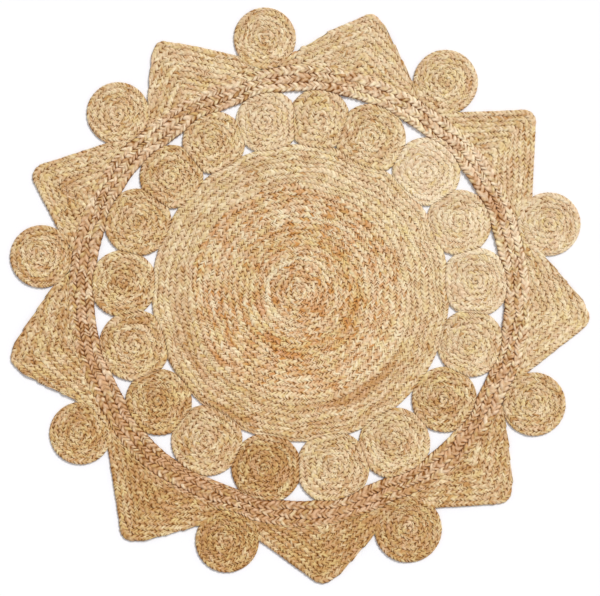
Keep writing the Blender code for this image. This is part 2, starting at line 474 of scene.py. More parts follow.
@dataclass
class Coil:
    """A braid wound from a middle out to an outline, in turns that follow the outline.

    A level is a closed line inside the outline, numbered in braid widths from it. Rays and
    rings are the grid on which depths are measured.
    """

    outline: Outline
    braid: Braid
    waver: Waver
    start_turn: float = 0.0
    rays: int = 360
    rings: int = 72
    levels_per_turn: int = 4
    tail: float = 0.35
    easing_turns: float = 4.0
    settling_turns: float = 1.5
    corner_ease: float = 0.22
    circle_ease: float = 1.3
    samples_per_turn: int = 360
    core_turns: float = 0.92
    levels: np.ndarray = field(init=False)
    radii: np.ndarray = field(init=False)
    turns: float = field(init=False)

    def __post_init__(self) -> None:
        """Work out the distance of every level from the middle, on every ray.

        The outermost levels keep a true distance from the outline. Further in they are drawn
        towards circles, and their corners are rounded by fading each harmonic around the turn
        by exp(-(its number times the ease) squared / 2).
        """
        angles = np.arange(self.rays) * FULL_TURN / self.rays
        edge = self.outline.radius(angles)
        reach = np.linspace(0.0, 1.0, self.rings)[None, :] * edge[:, None]
        spots = direction(angles)[:, None, :] * reach[..., None]
        depth = least_distance(spots, self.outline.corners, closed=True)
        deepest = float(depth[:, 0].mean())
        self.turns = deepest / self.braid.width
        count = self.levels_per_turn * math.ceil(self.turns) + 1
        self.levels = np.linspace(0.0, self.turns, count)
        offset = level_radii(depth, reach, self.levels * self.braid.width)
        inwards = self.levels / self.turns
        circle = (deepest * (1.0 - inwards))[:, None]
        radii = offset + smooth_step(self.circle_ease * inwards)[:, None] * (circle - offset)
        harmonic = np.arange(self.rays // 2 + 1)
        ease = self.corner_ease * np.sqrt(inwards)
        fade = np.exp(-((harmonic[None, :] * ease[:, None]) ** 2) / 2.0)
        self.radii = np.fft.irfft(np.fft.rfft(radii, axis=1) * fade, n=self.rays, axis=1)

    def level_left(self, turns_left: np.ndarray) -> np.ndarray:
        """The level of the braid's inner edge, for a number of turns left until its end.

        Near the outline whole turns keep to one level and step out over the tail's share of a
        turn. Further in, the steps ease into an even spiral.

        Args:
            turns_left: Turns left until the coil's end.

        Returns:
            The level at each place.
        """
        left = np.maximum(turns_left, 0.0)
        steps = np.floor(left) + np.minimum((left % 1.0) / self.tail, 1.0)
        even = smooth_step(left / self.easing_turns)
        return np.minimum(steps + even * (left - steps), self.turns)

    def radius(self, level: np.ndarray, turn: np.ndarray) -> np.ndarray:
        """The distance of a level from the middle, with the waver of hand sewing.

        Args:
            level: The level, with fractions.
            turn: The turn around the middle.

        Returns:
            The distance at each place.
        """
        column = (turn % FULL_TURN) / FULL_TURN * self.rays
        per_level = (len(self.levels) - 1) / self.turns
        rough = (self.turns - level) * self.braid.width
        settled = smooth_step(level) * smooth_step((self.turns - level) / self.settling_turns)
        strayed = level + settled * self.waver.at(level, turn, rough)
        strayed = np.clip(strayed, 0.0, self.turns)
        return grid_blend(self.radii, strayed * per_level, column, wraps=True)

    def runs(self, first: float | None = None, last: float | None = None) -> list[Run]:
        """The coil's one run of braid.

        At each place the braid lies between the level of its own inner edge and the level one
        turn later. Before the first whole turn it widens from nothing, which closes the middle.

        Args:
            first: The turn of the coil to start at, or the middle.
            last: The turn of the coil to end at, or the outline.

        Returns:
            A list of one run.
        """
        first = -self.core_turns if first is None else first
        last = self.turns if last is None else last
        done = np.linspace(first, last, int((last - first) * self.samples_per_turn) + 2)
        left = self.turns - done
        turn = self.start_turn + FULL_TURN * done
        inner = self.radius(self.level_left(left), turn)
        outer = self.radius(self.level_left(left - 1.0), turn)
        route = Route.between(self.outline.middle, turn, inner, outer)
        return [Run.whole(route, self.braid)]


@dataclass
class Ring:
    """A braid wound in whole turns between an inner and an outer outline."""

    outer: Outline
    inner: Outline
    braid: Braid
    waver: Waver
    start_turn: float = 0.0
    whole_turns: int = 3
    tail: float = 0.12
    samples_per_turn: int = 1440

    def level_left(self, turns_left: np.ndarray) -> np.ndarray:
        """The level of the braid's inner edge: whole turns, with a short step out after each.

        Args:
            turns_left: Turns left until the ring's end.

        Returns:
            The level at each place.
        """
        left = np.maximum(turns_left, 0.0)
        steps = np.floor(left) + np.minimum((left % 1.0) / self.tail, 1.0)
        return np.minimum(steps, self.whole_turns)

    def radius(self, level: np.ndarray, turn: np.ndarray) -> np.ndarray:
        """The distance from the middle, in even shares between the two outlines.

        Args:
            level: The level, from 0 at the outer outline.
            turn: The turn around the middle.

        Returns:
            The distance at each place.
        """
        outer = self.outer.radius(turn)
        settled = smooth_step(level) * smooth_step(self.whole_turns - level)
        strayed = level + settled * self.waver.at(level, turn, outer)
        return outer + strayed / self.whole_turns * (self.inner.radius(turn) - outer)

    def runs(self) -> list[Run]:
        """The band's one run of braid, with the short step over which its start widens.

        Returns:
            A list of one run.
        """
        count = int((self.whole_turns + self.tail) * self.samples_per_turn)
        left = np.linspace(self.whole_turns + self.tail, 0.0, count)
        turn = self.start_turn - FULL_TURN * left
        inner = self.radius(self.level_left(left), turn)
        outer = self.radius(self.level_left(left - 1.0), turn)
        route = Route.between(self.outer.middle, turn, inner, outer)
        return [Run.whole(route, self.braid)]


@dataclass
class VRows:
    """Rows of braid laid in a V, one inside another, each cut where it meets the band.

    Corners beyond the free reach from the rug's middle lie on the point's two free sides. The
    foot, from which the rays look out over half a view to either side, is under the band.
    """

    outline: Outline
    rug_middle: np.ndarray
    braid: Braid
    waver: Waver
    free_reach: float = 0.53
    foot_reach: float = 0.430
    half_view: float = math.radians(86.0)
    rays: int = 480
    steps: int = 110
    smoothing: float = 7.0
    smoothing_reach: float = 3.5
    spare_row: float = 0.35
    added_end: float = 0.3
    slack: float = 0.005
    shortest_row: float = 0.002
    samples: int = 2000
    rows: int = field(init=False)
    radii: np.ndarray = field(init=False)
    foot: np.ndarray = field(init=False)
    heading: float = field(init=False)

    def __post_init__(self) -> None:
        """Measure the depth of every ray behind the point's two free sides.

        Each level but the outermost is smoothed a little over its neighbouring rays, with bell
        weights of the smoothing's width.
        """
        corners = self.outline.corners + self.outline.middle
        offset = corners - self.rug_middle
        reach = np.linalg.norm(offset, axis=1)
        tip = offset[np.argmax(reach)]
        self.heading = float(np.arctan2(tip[0], tip[1]))
        self.foot = self.rug_middle + direction(np.array(self.heading)) * self.foot_reach
        sides = self.free_sides(corners[reach > self.free_reach])
        rays = self.heading + np.linspace(-self.half_view, self.half_view, self.rays)
        lengths = np.linspace(0.0, 1.0, self.steps)[None, :] * sides.radius(rays)[:, None]
        spots = direction(rays)[:, None, :] * lengths[..., None]
        depth = least_distance(spots, sides.corners, closed=False)
        deepest = float(least_distance(corners - self.foot, sides.corners, closed=False).max())
        self.rows = math.floor(deepest / self.braid.width + self.spare_row)
        radii = level_radii(depth, lengths, np.arange(self.rows + 2) * deepest / self.rows)
        side = math.ceil(self.smoothing_reach * self.smoothing)
        weights = np.exp(-((np.arange(-side, side + 1) / self.smoothing) ** 2) / 2.0)
        padded = np.pad(radii, ((0, 0), (side, side)), mode="reflect", reflect_type="odd")
        windows = np.lib.stride_tricks.sliding_window_view(padded, len(weights), axis=1)
        self.radii = windows @ (weights / weights.sum())
        self.radii[0] = radii[0]

    @property
    def flat(self) -> tuple[float, float]:
        """The point's width across its heading, and its length along it.

        Returns:
            The width and the length.
        """
        width = np.ptp(self.outline.corners @ direction(self.heading + math.pi / 2.0))
        length = np.ptp(self.outline.corners @ direction(self.heading))
        return float(width), float(length)

    def free_sides(self, corners: np.ndarray) -> OpenLine:
        """The free sides as seen from the foot, with a long straight end added on both.

        Args:
            corners: The corners on the free sides, in any order.

        Returns:
            The line, in order around the foot.
        """
        offsets = np.unique(np.round(corners - self.foot, 6), axis=0)
        turns = np.arctan2(offsets[:, 0], offsets[:, 1]) - self.heading
        line = offsets[np.argsort((turns + math.pi) % FULL_TURN)]
        back, on = line[0] - line[2], line[-1] - line[-3]
        before = line[0] + self.added_end * back / np.linalg.norm(back)
        after = line[-1] + self.added_end * on / np.linalg.norm(on)
        line = np.vstack([before, line, after])
        turns = np.arctan2(line[:, 0], line[:, 1]) - self.heading
        turns = self.heading + (turns + math.pi) % FULL_TURN - math.pi
        return OpenLine(self.foot, turns, line)

    def radius(self, level: int, ray: np.ndarray) -> np.ndarray:
        """The distance of a level from the foot, with the waver of hand sewing.

        Args:
            level: The level, from 0 on the free sides.
            ray: Turns from the heading.

        Returns:
            The distance on each ray.
        """
        column = (ray / self.half_view + 1.0) / 2.0 * (self.rays - 1)
        levels = np.full(ray.shape, float(level))
        settled = 1.0 if 0 < level < self.rows else 0.0
        rough = grid_blend(self.radii, levels, column, wraps=False)
        strayed = levels + settled * self.waver.at(levels, ray, rough)
        return grid_blend(self.radii, strayed, column, wraps=False)

    def runs(self) -> list[Run]:
        """Every row, from the outermost, trimmed to the point's outline.

        One more row than the point's depth holds closes the middle of its base. A row of which
        next to nothing is left is dropped.

        Returns:
            A run for each row.
        """
        ray = np.linspace(-self.half_view, self.half_view, self.samples)
        edges = [self.radius(level, ray) for level in range(self.rows + 2)]
        routes = [
            Route.between(self.foot, self.heading + ray, inner, outer)
            for outer, inner in zip(edges[:-1], edges[1:])
        ]
        runs = [Run.trimmed(route, self.braid, self.outline, self.slack) for route in routes]
        return [run for run in runs if (run.ends - run.starts).mean() > self.shortest_row]


# ---------------------------------------------------------------- jute


@dataclass(frozen=True)
class JuteFinish:
    """Matt, unbleached jute. Tone runs from 0, the pale colour, to 1, the warm one. Contrast
    also sets how strong the painted shade in the grooves is, and shade is its colour.
    """

    tone: float
    redness: float = 0.0
    contrast: float = 1.0
    pale: Colour = (0.90, 0.765, 0.515)
    warm: Colour = (0.515, 0.272, 0.093)
    peach: Colour = (0.80, 0.52, 0.34)
    straw: Colour = (0.76, 0.58, 0.25)
    # The colour of the painted shade in the grooves.
    shade: Colour = (0.22, 0.080, 0.010)
    roughness: float = 0.78
    specular: float = 0.22
    sheen: float = 0.10
    sheen_roughness: float = 0.45

    @classmethod
    def of_tone(cls, tone: float) -> "JuteFinish":
        """A finish for a small piece: the browner, the stronger its contrast and the yellower.

        Args:
            tone: The piece's tone.

        Returns:
            The finish.
        """
        contrast = 0.52 + 0.88 * tone
        blue = 0.575 - 0.11 * tone
        return cls(tone=tone, contrast=contrast, pale=(0.90, 0.77, blue))

    def material(self, name: str) -> bpy.types.Material:
        """Make the finish's material: Principled, with colour and normal from the jute group.

        Args:
            name: The material's name.

        Returns:
            The material.
        """
        material = bpy.data.materials.new(name)
        material.use_nodes = True
        tree = material.node_tree
        shader = tree.nodes["Principled BSDF"]
        shader.inputs["Roughness"].default_value = self.roughness
        shader.inputs["Specular IOR Level"].default_value = self.specular
        shader.inputs["Sheen Weight"].default_value = self.sheen
        shader.inputs["Sheen Roughness"].default_value = self.sheen_roughness
        jute = tree.nodes.new("ShaderNodeGroup")
        jute.node_tree = JuteGrain().group()
        jute.inputs["Tone"].default_value = self.tone
        jute.inputs["Redness"].default_value = self.redness
        jute.inputs["Contrast"].default_value = self.contrast
        for colour in ("Pale", "Warm", "Peach", "Straw", "Shade"):
            jute.inputs[colour].default_value = (*getattr(self, colour.lower()), 1.0)
        tree.links.new(jute.outputs["Colour"], shader.inputs["Base Color"])
        tree.links.new(jute.outputs["Normal"], shader.inputs["Normal"])
        return material


@dataclass(frozen=True)
class Cloud:
    """Soft noise around 0: clouds for each metre, layers of finer clouds, and its whole range."""

    scale: float
    detail: float
    strength: float


@dataclass(frozen=True)
class Wiring:
    """Short calls for adding nodes to a tree and joining them."""

    tree: bpy.types.NodeTree

    def node(self, kind: str, **settings: object) -> bpy.types.Node:
        """Add a node and give it its settings.

        Args:
            kind: The node's type.
            settings: The node's own properties, by name.

        Returns:
            The node.
        """
        made = self.tree.nodes.new(kind)
        for name, value in settings.items():
            setattr(made, name, value)
        return made

    def join(self, source: object, target: bpy.types.NodeSocket) -> None:
        """Feed a socket from another socket, or set it to a plain value.

        Args:
            source: The other socket, or the value.
            target: The socket.
        """
        if isinstance(source, bpy.types.NodeSocket):
            self.tree.links.new(source, target)
        else:
            target.default_value = source

    def maths(self, operation: str, *values: object, clamp: bool = False) -> bpy.types.NodeSocket:
        """Work out one value from others.

        Args:
            operation: The Math node's operation.
            values: Sockets or numbers, in the node's order.
            clamp: Whether the result is held between 0 and 1.

        Returns:
            The result's socket.
        """
        made = self.node("ShaderNodeMath", operation=operation, use_clamp=clamp)
        for value, socket in zip(values, made.inputs):
            self.join(value, socket)
        return made.outputs[0]

    def mix(self, share: object, first: object, second: object) -> bpy.types.NodeSocket:
        """Mix two colours.

        Args:
            share: The second colour's share.
            first: The first colour.
            second: The second colour.

        Returns:
            The mixed colour's socket.
        """
        made = self.node("ShaderNodeMix", data_type="RGBA", clamp_factor=True)
        self.join(share, made.inputs[0])
        self.join(first, made.inputs[MIX_FIRST])
        self.join(second, made.inputs[MIX_SECOND])
        return made.outputs[MIX_COLOUR]

    def attribute(self, name: str) -> bpy.types.NodeSocket:
        """Read one of the braid's own values."""
        return self.node("ShaderNodeAttribute", attribute_name=name).outputs["Fac"]

    def noise(self, place: object, scale: float, detail: float) -> bpy.types.NodeSocket:
        """Cloudy noise from 0 to 1.

        Args:
            place: Where the noise is read.
            scale: Clouds for each unit of place.
            detail: Layers of finer clouds.

        Returns:
            The noise's socket.
        """
        made = self.node("ShaderNodeTexNoise")
        made.inputs["Scale"].default_value = scale
        made.inputs["Detail"].default_value = detail
        self.join(place, made.inputs["Vector"])
        return made.outputs["Fac"]

    def cloud(self, place: object, cloud: Cloud) -> bpy.types.NodeSocket:
        """Cloudy noise around 0.

        Args:
            place: Where the noise is read.
            cloud: How fine and how strong it is.

        Returns:
            The noise's socket.
        """
        noise = self.noise(place, cloud.scale, cloud.detail)
        return self.maths("MULTIPLY_ADD", noise, cloud.strength, -cloud.strength / 2.0)

    def stretched(self, place: object, scale: Triple) -> bpy.types.NodeSocket:
        """Stretch a place along each of its axes.

        Args:
            place: The place.
            scale: The stretch along each axis.

        Returns:
            The stretched place's socket.
        """
        made = self.node("ShaderNodeMapping", vector_type="POINT")
        made.inputs["Scale"].default_value = scale
        self.join(place, made.inputs["Vector"])
        return made.outputs["Vector"]


def add_sockets(tree: bpy.types.NodeTree, way: str, kind: str, *names: str) -> None:
    """Give a node group some sockets of one kind, as INPUT or OUTPUT."""
    for name in names:
        tree.interface.new_socket(name, in_out=way, socket_type=kind)


@dataclass(frozen=True)
class JuteGrain:
    """How jute's tone, hue, grooves and surface vary, alike in every finish.

    The braid's map runs along it, in lobes, and around it, in half widths. The streaks are fine
    along it and long around it, so that they follow the lobes.
    """

    fibre_stretch: Triple = (9.0, 0.8, 1.0)
    fibre_detail: float = 3.0
    bundle_stretch: Triple = (3.0, 0.5, 1.0)
    bundle_detail: float = 2.0
    streak_strength: float = 0.45
    lobe_strength: float = 0.30
    patches: Cloud = Cloud(scale=28.0, detail=2.0, strength=0.6)
    spots: Cloud = Cloud(scale=95.0, detail=3.0, strength=1.3)
    tints: Cloud = Cloud(scale=55.0, detail=2.0, strength=4.0)
    peach_share: float = 0.30
    straw_share: float = 0.50
    # Painted shade in the grooves: broken up by fine specks, and stronger where the jute is
    # browner.
    speck_scale: float = 150.0
    speck_detail: float = 2.0
    speck_contrast: float = 4.4
    speck_start: float = -1.38
    least_speck: float = 0.05
    groove_share: float = 0.68
    groove_browning: float = 0.85
    bump_strength: float = 0.45
    bump_distance: float = 0.0006

    def streak(self, wire: Wiring) -> bpy.types.NodeSocket:
        """Streaks along the lobes: single fibres, plus bundles of them.

        Args:
            wire: The group's wiring.

        Returns:
            Their sum, around 1.
        """
        lobe_map = wire.node("ShaderNodeUVMap", uv_map="braid").outputs["UV"]
        fine = wire.stretched(lobe_map, self.fibre_stretch)
        coarse = wire.stretched(lobe_map, self.bundle_stretch)
        fibres = wire.noise(fine, 1.0, self.fibre_detail)
        bundles = wire.noise(coarse, 1.0, self.bundle_detail)
        return wire.maths("ADD", fibres, bundles)

    def tone(
        self, wire: Wiring, given: object, place: object, streak: object
    ) -> bpy.types.NodeSocket:
        """The finish's tone, plus its contrast times streaks, lobes, patches and spots.

        Args:
            wire: The group's wiring.
            given: The group's inputs.
            place: Where the surface lies.
            streak: The streaks.

        Returns:
            The tone, from 0 to 1.
        """
        own = wire.maths("MULTIPLY_ADD", streak, self.streak_strength, -self.streak_strength)
        own = wire.maths("MULTIPLY_ADD", wire.attribute("lobe_tone"), self.lobe_strength, own)
        own = wire.maths("ADD", own, wire.cloud(place, self.patches))
        own = wire.maths("ADD", own, wire.cloud(place, self.spots))
        return wire.maths("MULTIPLY_ADD", own, given["Contrast"], given["Tone"], clamp=True)

    def tinted(
        self, wire: Wiring, given: object, place: object, colour: object
    ) -> bpy.types.NodeSocket:
        """A colour that leans to peach or straw, by the lobe's hue and soft clouds of tint.

        Args:
            wire: The group's wiring.
            given: The group's inputs.
            place: Where the surface lies.
            colour: The colour before that.

        Returns:
            The tinted colour.
        """
        hue = wire.maths("ADD", wire.cloud(place, self.tints), wire.attribute("lobe_hue"))
        red = wire.maths("MULTIPLY_ADD", hue, self.peach_share, given["Redness"], clamp=True)
        colour = wire.mix(red, colour, given["Peach"])
        green = wire.maths("MULTIPLY", hue, -self.straw_share, clamp=True)
        return wire.mix(green, colour, given["Straw"])

    def darkness(
        self, wire: Wiring, given: object, place: object, tone: object
    ) -> bpy.types.NodeSocket:
        """How much painted shade the grooves get: their painted shade times fine specks, more
        where it is browner.

        Args:
            wire: The group's wiring.
            given: The group's inputs.
            place: Where the surface lies.
            tone: The tone there.

        Returns:
            The share of the painted shade colour, from 0 to 1.
        """
        specks = wire.noise(place, self.speck_scale, self.speck_detail)
        pit = wire.maths("MULTIPLY_ADD", specks, self.speck_contrast, self.speck_start)
        pit = wire.maths("MAXIMUM", pit, self.least_speck)
        browned = wire.maths("MULTIPLY_ADD", tone, self.groove_browning, self.groove_share)
        dark = wire.maths("MULTIPLY", wire.attribute("groove"), pit)
        dark = wire.maths("MULTIPLY", dark, browned)
        return wire.maths("MULTIPLY", dark, given["Contrast"], clamp=True)

    def group(self) -> bpy.types.NodeTree:
        """The node group that every jute finish shares.

        The colour goes from pale to warm by the tone, is tinted, and darkens to the shade colour
        in the grooves, which is painted shade. The normal comes from the streaks.

        Returns:
            The group, made once.
        """
        if "jute" in bpy.data.node_groups:
            return bpy.data.node_groups["jute"]
        tree = bpy.data.node_groups.new("jute", "ShaderNodeTree")
        add_sockets(tree, "INPUT", "NodeSocketFloat", "Tone", "Redness", "Contrast")
        add_sockets(tree, "INPUT", "NodeSocketColor", "Pale", "Warm", "Peach", "Straw", "Shade")
        add_sockets(tree, "OUTPUT", "NodeSocketColor", "Colour")
        add_sockets(tree, "OUTPUT", "NodeSocketVector", "Normal")
        wire = Wiring(tree)
        given = wire.node("NodeGroupInput").outputs
        result = wire.node("NodeGroupOutput").inputs
        place = wire.node("ShaderNodeTexCoord").outputs["Object"]
        streak = self.streak(wire)
        tone = self.tone(wire, given, place, streak)
        colour = wire.mix(tone, given["Pale"], given["Warm"])
        colour = self.tinted(wire, given, place, colour)
        dark = self.darkness(wire, given, place, tone)
        # Painted shade: the grooves are darkened towards the shade colour.
        wire.join(wire.mix(dark, colour, given["Shade"]), result["Colour"])
        bump = wire.node("ShaderNodeBump")
        bump.inputs["Strength"].default_value = self.bump_strength
        bump.inputs["Distance"].default_value = self.bump_distance
        wire.join(streak, bump.inputs["Height"])
        wire.join(bump.outputs["Normal"], result["Normal"])
        return tree


# ---------------------------------------------------------------- pieces


@dataclass(frozen=True)
class Stain:
    """A place on the rug where the braid is darker, warmer or paler than around it.

    Turn and half turn are in degrees, and a half turn of more than 180 goes all around. Radius
    and half depth are in metres. The stain ends about a half turn and a half depth away. Its
    tone and hue are added to the lobes' own: a hue above 0 leans to peach, and below to straw.
    """

    turn: float
    radius: float
    half_turn: float
    half_depth: float
    tone: float
    hue: float = 0.0
    steepness: int = 4

    def weight(self, offset: np.ndarray) -> np.ndarray:
        """How strongly the stain shows: a bell around its turn, times one around its radius.

        Args:
            offset: Places as seen from the rug's middle.

        Returns:
            A weight from 0 to 1 for each place.
        """
        turn = np.degrees(np.arctan2(offset[..., 0], offset[..., 1]))
        away = (turn - self.turn + 180.0) % 360.0 - 180.0
        apart = np.linalg.norm(offset, axis=-1) - self.radius
        fade_turn = (away / self.half_turn) ** self.steepness
        fade_depth = (apart / self.half_depth) ** self.steepness
        return np.exp(-fade_turn - fade_depth)


@dataclass(frozen=True)
class Tube:
    """One run of braid as grids: a row for each ring and a column for each side of the section."""

    spots: np.ndarray
    # How much painted shade each corner gets, in the grooves and along the braid's edges.
    groove: np.ndarray
    lobe_map: np.ndarray
    lobe_tone: np.ndarray
    lobe_hue: np.ndarray

    def faces(self) -> tuple[np.ndarray, np.ndarray]:
        """The corners of all faces in one row, and the number of corners of each face.

        The quads go around each ring and then along. A cap closes either end.

        Returns:
            The corners' numbers, and the faces' counts.
        """
        rings, sides = self.spots.shape[:2]
        corner = np.arange(rings * sides).reshape(rings, sides)
        following = np.roll(corner, -1, axis=1)
        quads = np.stack([corner[:-1], corner[1:], following[1:], following[:-1]], axis=-1)
        loops = np.concatenate([quads.ravel(), corner[0], corner[-1][::-1]])
        sizes = np.concatenate([np.full((rings - 1) * sides, 4), [sides, sides]])
        return loops, sizes


@dataclass
class BraidedPiece:
    """One piece of the rug, or a part of one, made of one or more runs of braid.

    Tone and hue change slowly along each strand, from knot to knot, and along the whole braid.
    Knots are that many lobes apart. Map step is what each side of the section adds to the map.
    """

    name: str
    node: str
    part: Part
    braid: Braid
    runs: list[Run]
    finish: JuteFinish
    flat: tuple[float, float]
    stains: tuple[Stain, ...] = ()
    rug_middle: np.ndarray = field(default_factory=lambda: np.zeros(2))
    end_ease: float = 0.030
    strands: int = 3
    strand_knots: float = 7.0
    braid_knots: float = 28.0
    strand_tone: float = 0.45
    braid_tone: float = 0.45
    lobe_tone: float = 0.64
    brown_above: float = 0.93
    brown_tone: float = 1.5
    strand_hue: float = 0.55
    lobe_hue: float = 0.55
    map_step: float = 0.15

    def along(self, run: Run, random: np.random.Generator) -> tuple[np.ndarray, np.ndarray]:
        """How far along its route each corner of a run's grid lies.

        Lobes are unevenly long. Each ring is bent into a V, so that the grid's lines run along
        the lobes, and near the ends it eases to the run's own start and end at each corner.

        Args:
            run: The run.
            random: The piece's own seeded source.

        Returns:
            A row for each ring, and the number of lobes that lie before each ring.
        """
        braid = self.braid
        start = float(run.starts.mean())
        span = float(run.ends.mean()) - start
        lobes = max(round(span / braid.lobe_pitch), self.strands)
        phase = np.arange(lobes * braid.steps + 1) / braid.steps
        pitches = 1.0 + braid.uneven_pitch * random.uniform(-1.0, 1.0, lobes)
        before = np.concatenate([[0.0], np.cumsum(pitches)]) / pitches.sum()
        middle = span * np.interp(phase, np.arange(lobes + 1), before)[:, None]
        ease = min(self.end_ease, span / 2.0)
        lead = braid.slant * braid.width / 2.0 * (1.0 - np.abs(np.array(braid.across)))
        lead = (lead - lead.mean()) * ease / self.end_ease
        near_start = np.clip(1.0 - middle / ease, 0.0, 1.0)
        near_end = np.clip(1.0 - (span - middle) / ease, 0.0, 1.0)
        shift = lead + near_start * (run.starts - start - lead)
        shift = shift + near_end * (run.ends - start - span - lead)
        return start + middle + shift, phase

    def tube(self, run: Run, random: np.random.Generator) -> Tube:
        """One run's surface.

        A corner lies beside the route by its place across, which sways and swells with the
        lobes. Its height goes from groove to crest with the lobe's swell. The two columns of
        lobes are half a pitch apart.

        Args:
            run: The run.
            random: The piece's own seeded source.

        Returns:
            The surface's grids.
        """
        braid = self.braid
        along, phase = self.along(run, random)
        across = np.array(braid.across)
        right = (across > 0.0).astype(int)
        own = phase[:, None] + 0.5 * right
        middle = np.isclose(across, 0.0)
        swell = braid.lobe_swell(own)
        either = np.maximum(swell, braid.lobe_swell(phase + 0.5)[:, None])
        swell = np.where(middle, either, swell)
        lobe = np.floor(own).astype(int)
        uneven = random.uniform(-1.0, 1.0, (lobe.max() + 2, 2))[lobe, right]
        sway = -braid.middle_sway * np.cos(FULL_TURN * phase)[:, None] * middle
        edge = np.abs(across) ** braid.edge_sharpness
        spread = across * (braid.press + braid.edge_swell * edge * swell) + sway
        east, north = run.route.place(along, spread)
        crest = np.array(braid.crest) * (1.0 + braid.uneven_height * uneven)
        groove = np.array(braid.groove)
        height = np.clip(groove + swell * (crest - groove), -1.0, 1.0)
        full = np.clip(run.route.at(run.route.half_width, along) / (braid.width / 2.0), 0.0, 1.0)
        least = braid.least_thickness
        thick = braid.thickness / 2.0 * (least + (1.0 - least) * np.sqrt(full))
        # Painted shade: darkest at the bottom of each groove, where shade falls, and along the
        # braid's edges, by a random depth for each lobe.
        depth = random.uniform(*braid.uneven_painted_shade, (lobe.max() + 2, 2))[lobe, right]
        painted_shade = (1.0 - swell) * np.array(braid.painted_shade) * depth
        painted_shade = np.maximum(painted_shade, depth * np.array(braid.painted_edge_shade))
        tone, hue = self.lobe_colours(phase, east, north, random)
        return Tube(
            np.stack([east, north, thick * (1.0 + height)], axis=-1),
            painted_shade,
            self.lobe_map(phase),
            tone,
            hue,
        )

    def side_is_right(self) -> np.ndarray:
        """Whether each side of the section, between two corners, is on the right."""
        across = np.array(self.braid.across)
        return ((across + np.roll(across, -1)) > 1e-6).astype(int)

    def lobe_map(self, phase: np.ndarray) -> np.ndarray:
        """The map of each quad's four corners: lobes along, and half widths around.

        Args:
            phase: The number of lobes before each ring.

        Returns:
            Two numbers for each corner of each quad.
        """
        across = np.array(self.braid.across)
        sides = np.abs(np.roll(across, -1) - across) + self.map_step
        around = np.concatenate([[0.0], np.cumsum(sides)])
        column = 0.5 * self.side_is_right()
        shape = (len(phase) - 1, len(across))
        this = np.broadcast_to(phase[:-1, None] + column, shape)
        after = np.broadcast_to(phase[1:, None] + column, shape)
        near = np.broadcast_to(around[:-1], shape)
        far = np.broadcast_to(around[1:], shape)
        corners = [(this, near), (after, near), (after, far), (this, far)]
        return np.stack([np.stack(corner, axis=-1) for corner in corners], axis=2)

    def lobe_colours(
        self, phase: np.ndarray, east: np.ndarray, north: np.ndarray, random: np.random.Generator
    ) -> tuple[np.ndarray, np.ndarray]:
        """The tone and hue of each face, alike over a lobe.

        Each of the three strands has its own slow change, every lobe differs a little, a few
        are much browner, and the whole braid changes over longer stretches.

        Args:
            phase: The number of lobes before each ring.
            east: The corners' places along X.
            north: The corners' places along Y.
            random: The piece's own seeded source.

        Returns:
            Tones and hues, a row for each length between rings and a column for each side.
        """
        right = self.side_is_right()
        middle = (phase[:-1] + phase[1:])[:, None] / 2.0
        own = middle + 0.5 * right
        lobe = np.floor(own).astype(int)
        strand = (2 * lobe - right) % self.strands
        tone = np.zeros(own.shape)
        hue = np.zeros(own.shape)
        for number in range(self.strands):
            slow = knotted_noise(own, self.strand_knots, random)
            tint = knotted_noise(own, self.strand_knots, random)
            tone = np.where(strand == number, slow, tone)
            hue = np.where(strand == number, tint, hue)
        quick = random.uniform(-1.0, 1.0, (lobe.max() + 2, 2, 3))[lobe, right]
        brown = np.where(quick[..., 2] > self.brown_above, self.brown_tone, 0.0)
        tone = self.strand_tone * tone + self.lobe_tone * quick[..., 0] + brown
        tone = tone + self.braid_tone * knotted_noise(own, self.braid_knots, random)
        hue = self.strand_hue * hue + self.lobe_hue * quick[..., 1]
        offset = np.stack([east[:-1], north[:-1]], axis=-1) - self.rug_middle
        for stain in self.stains:
            weight = stain.weight(offset)
            tone = tone + weight * stain.tone
            hue = hue + weight * stain.hue
        return tone, hue

    def build(self) -> bpy.types.Object:
        """Make the piece, put it under the rug's root and hide the solid that it stands for.

        Returns:
            The finished object, at the origin with its place in its mesh.
        """
        random = np.random.default_rng(zlib.crc32(self.name.encode()))
        tubes = [self.tube(run, random) for run in self.runs]
        piece = bpy.data.objects.new(self.name, joined_mesh(self.name, tubes))
        bpy.context.scene.collection.objects.link(piece)
        piece.data.materials.append(self.finish.material("jute_" + self.name))
        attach(piece, "root")
        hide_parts(self.node)
        return piece


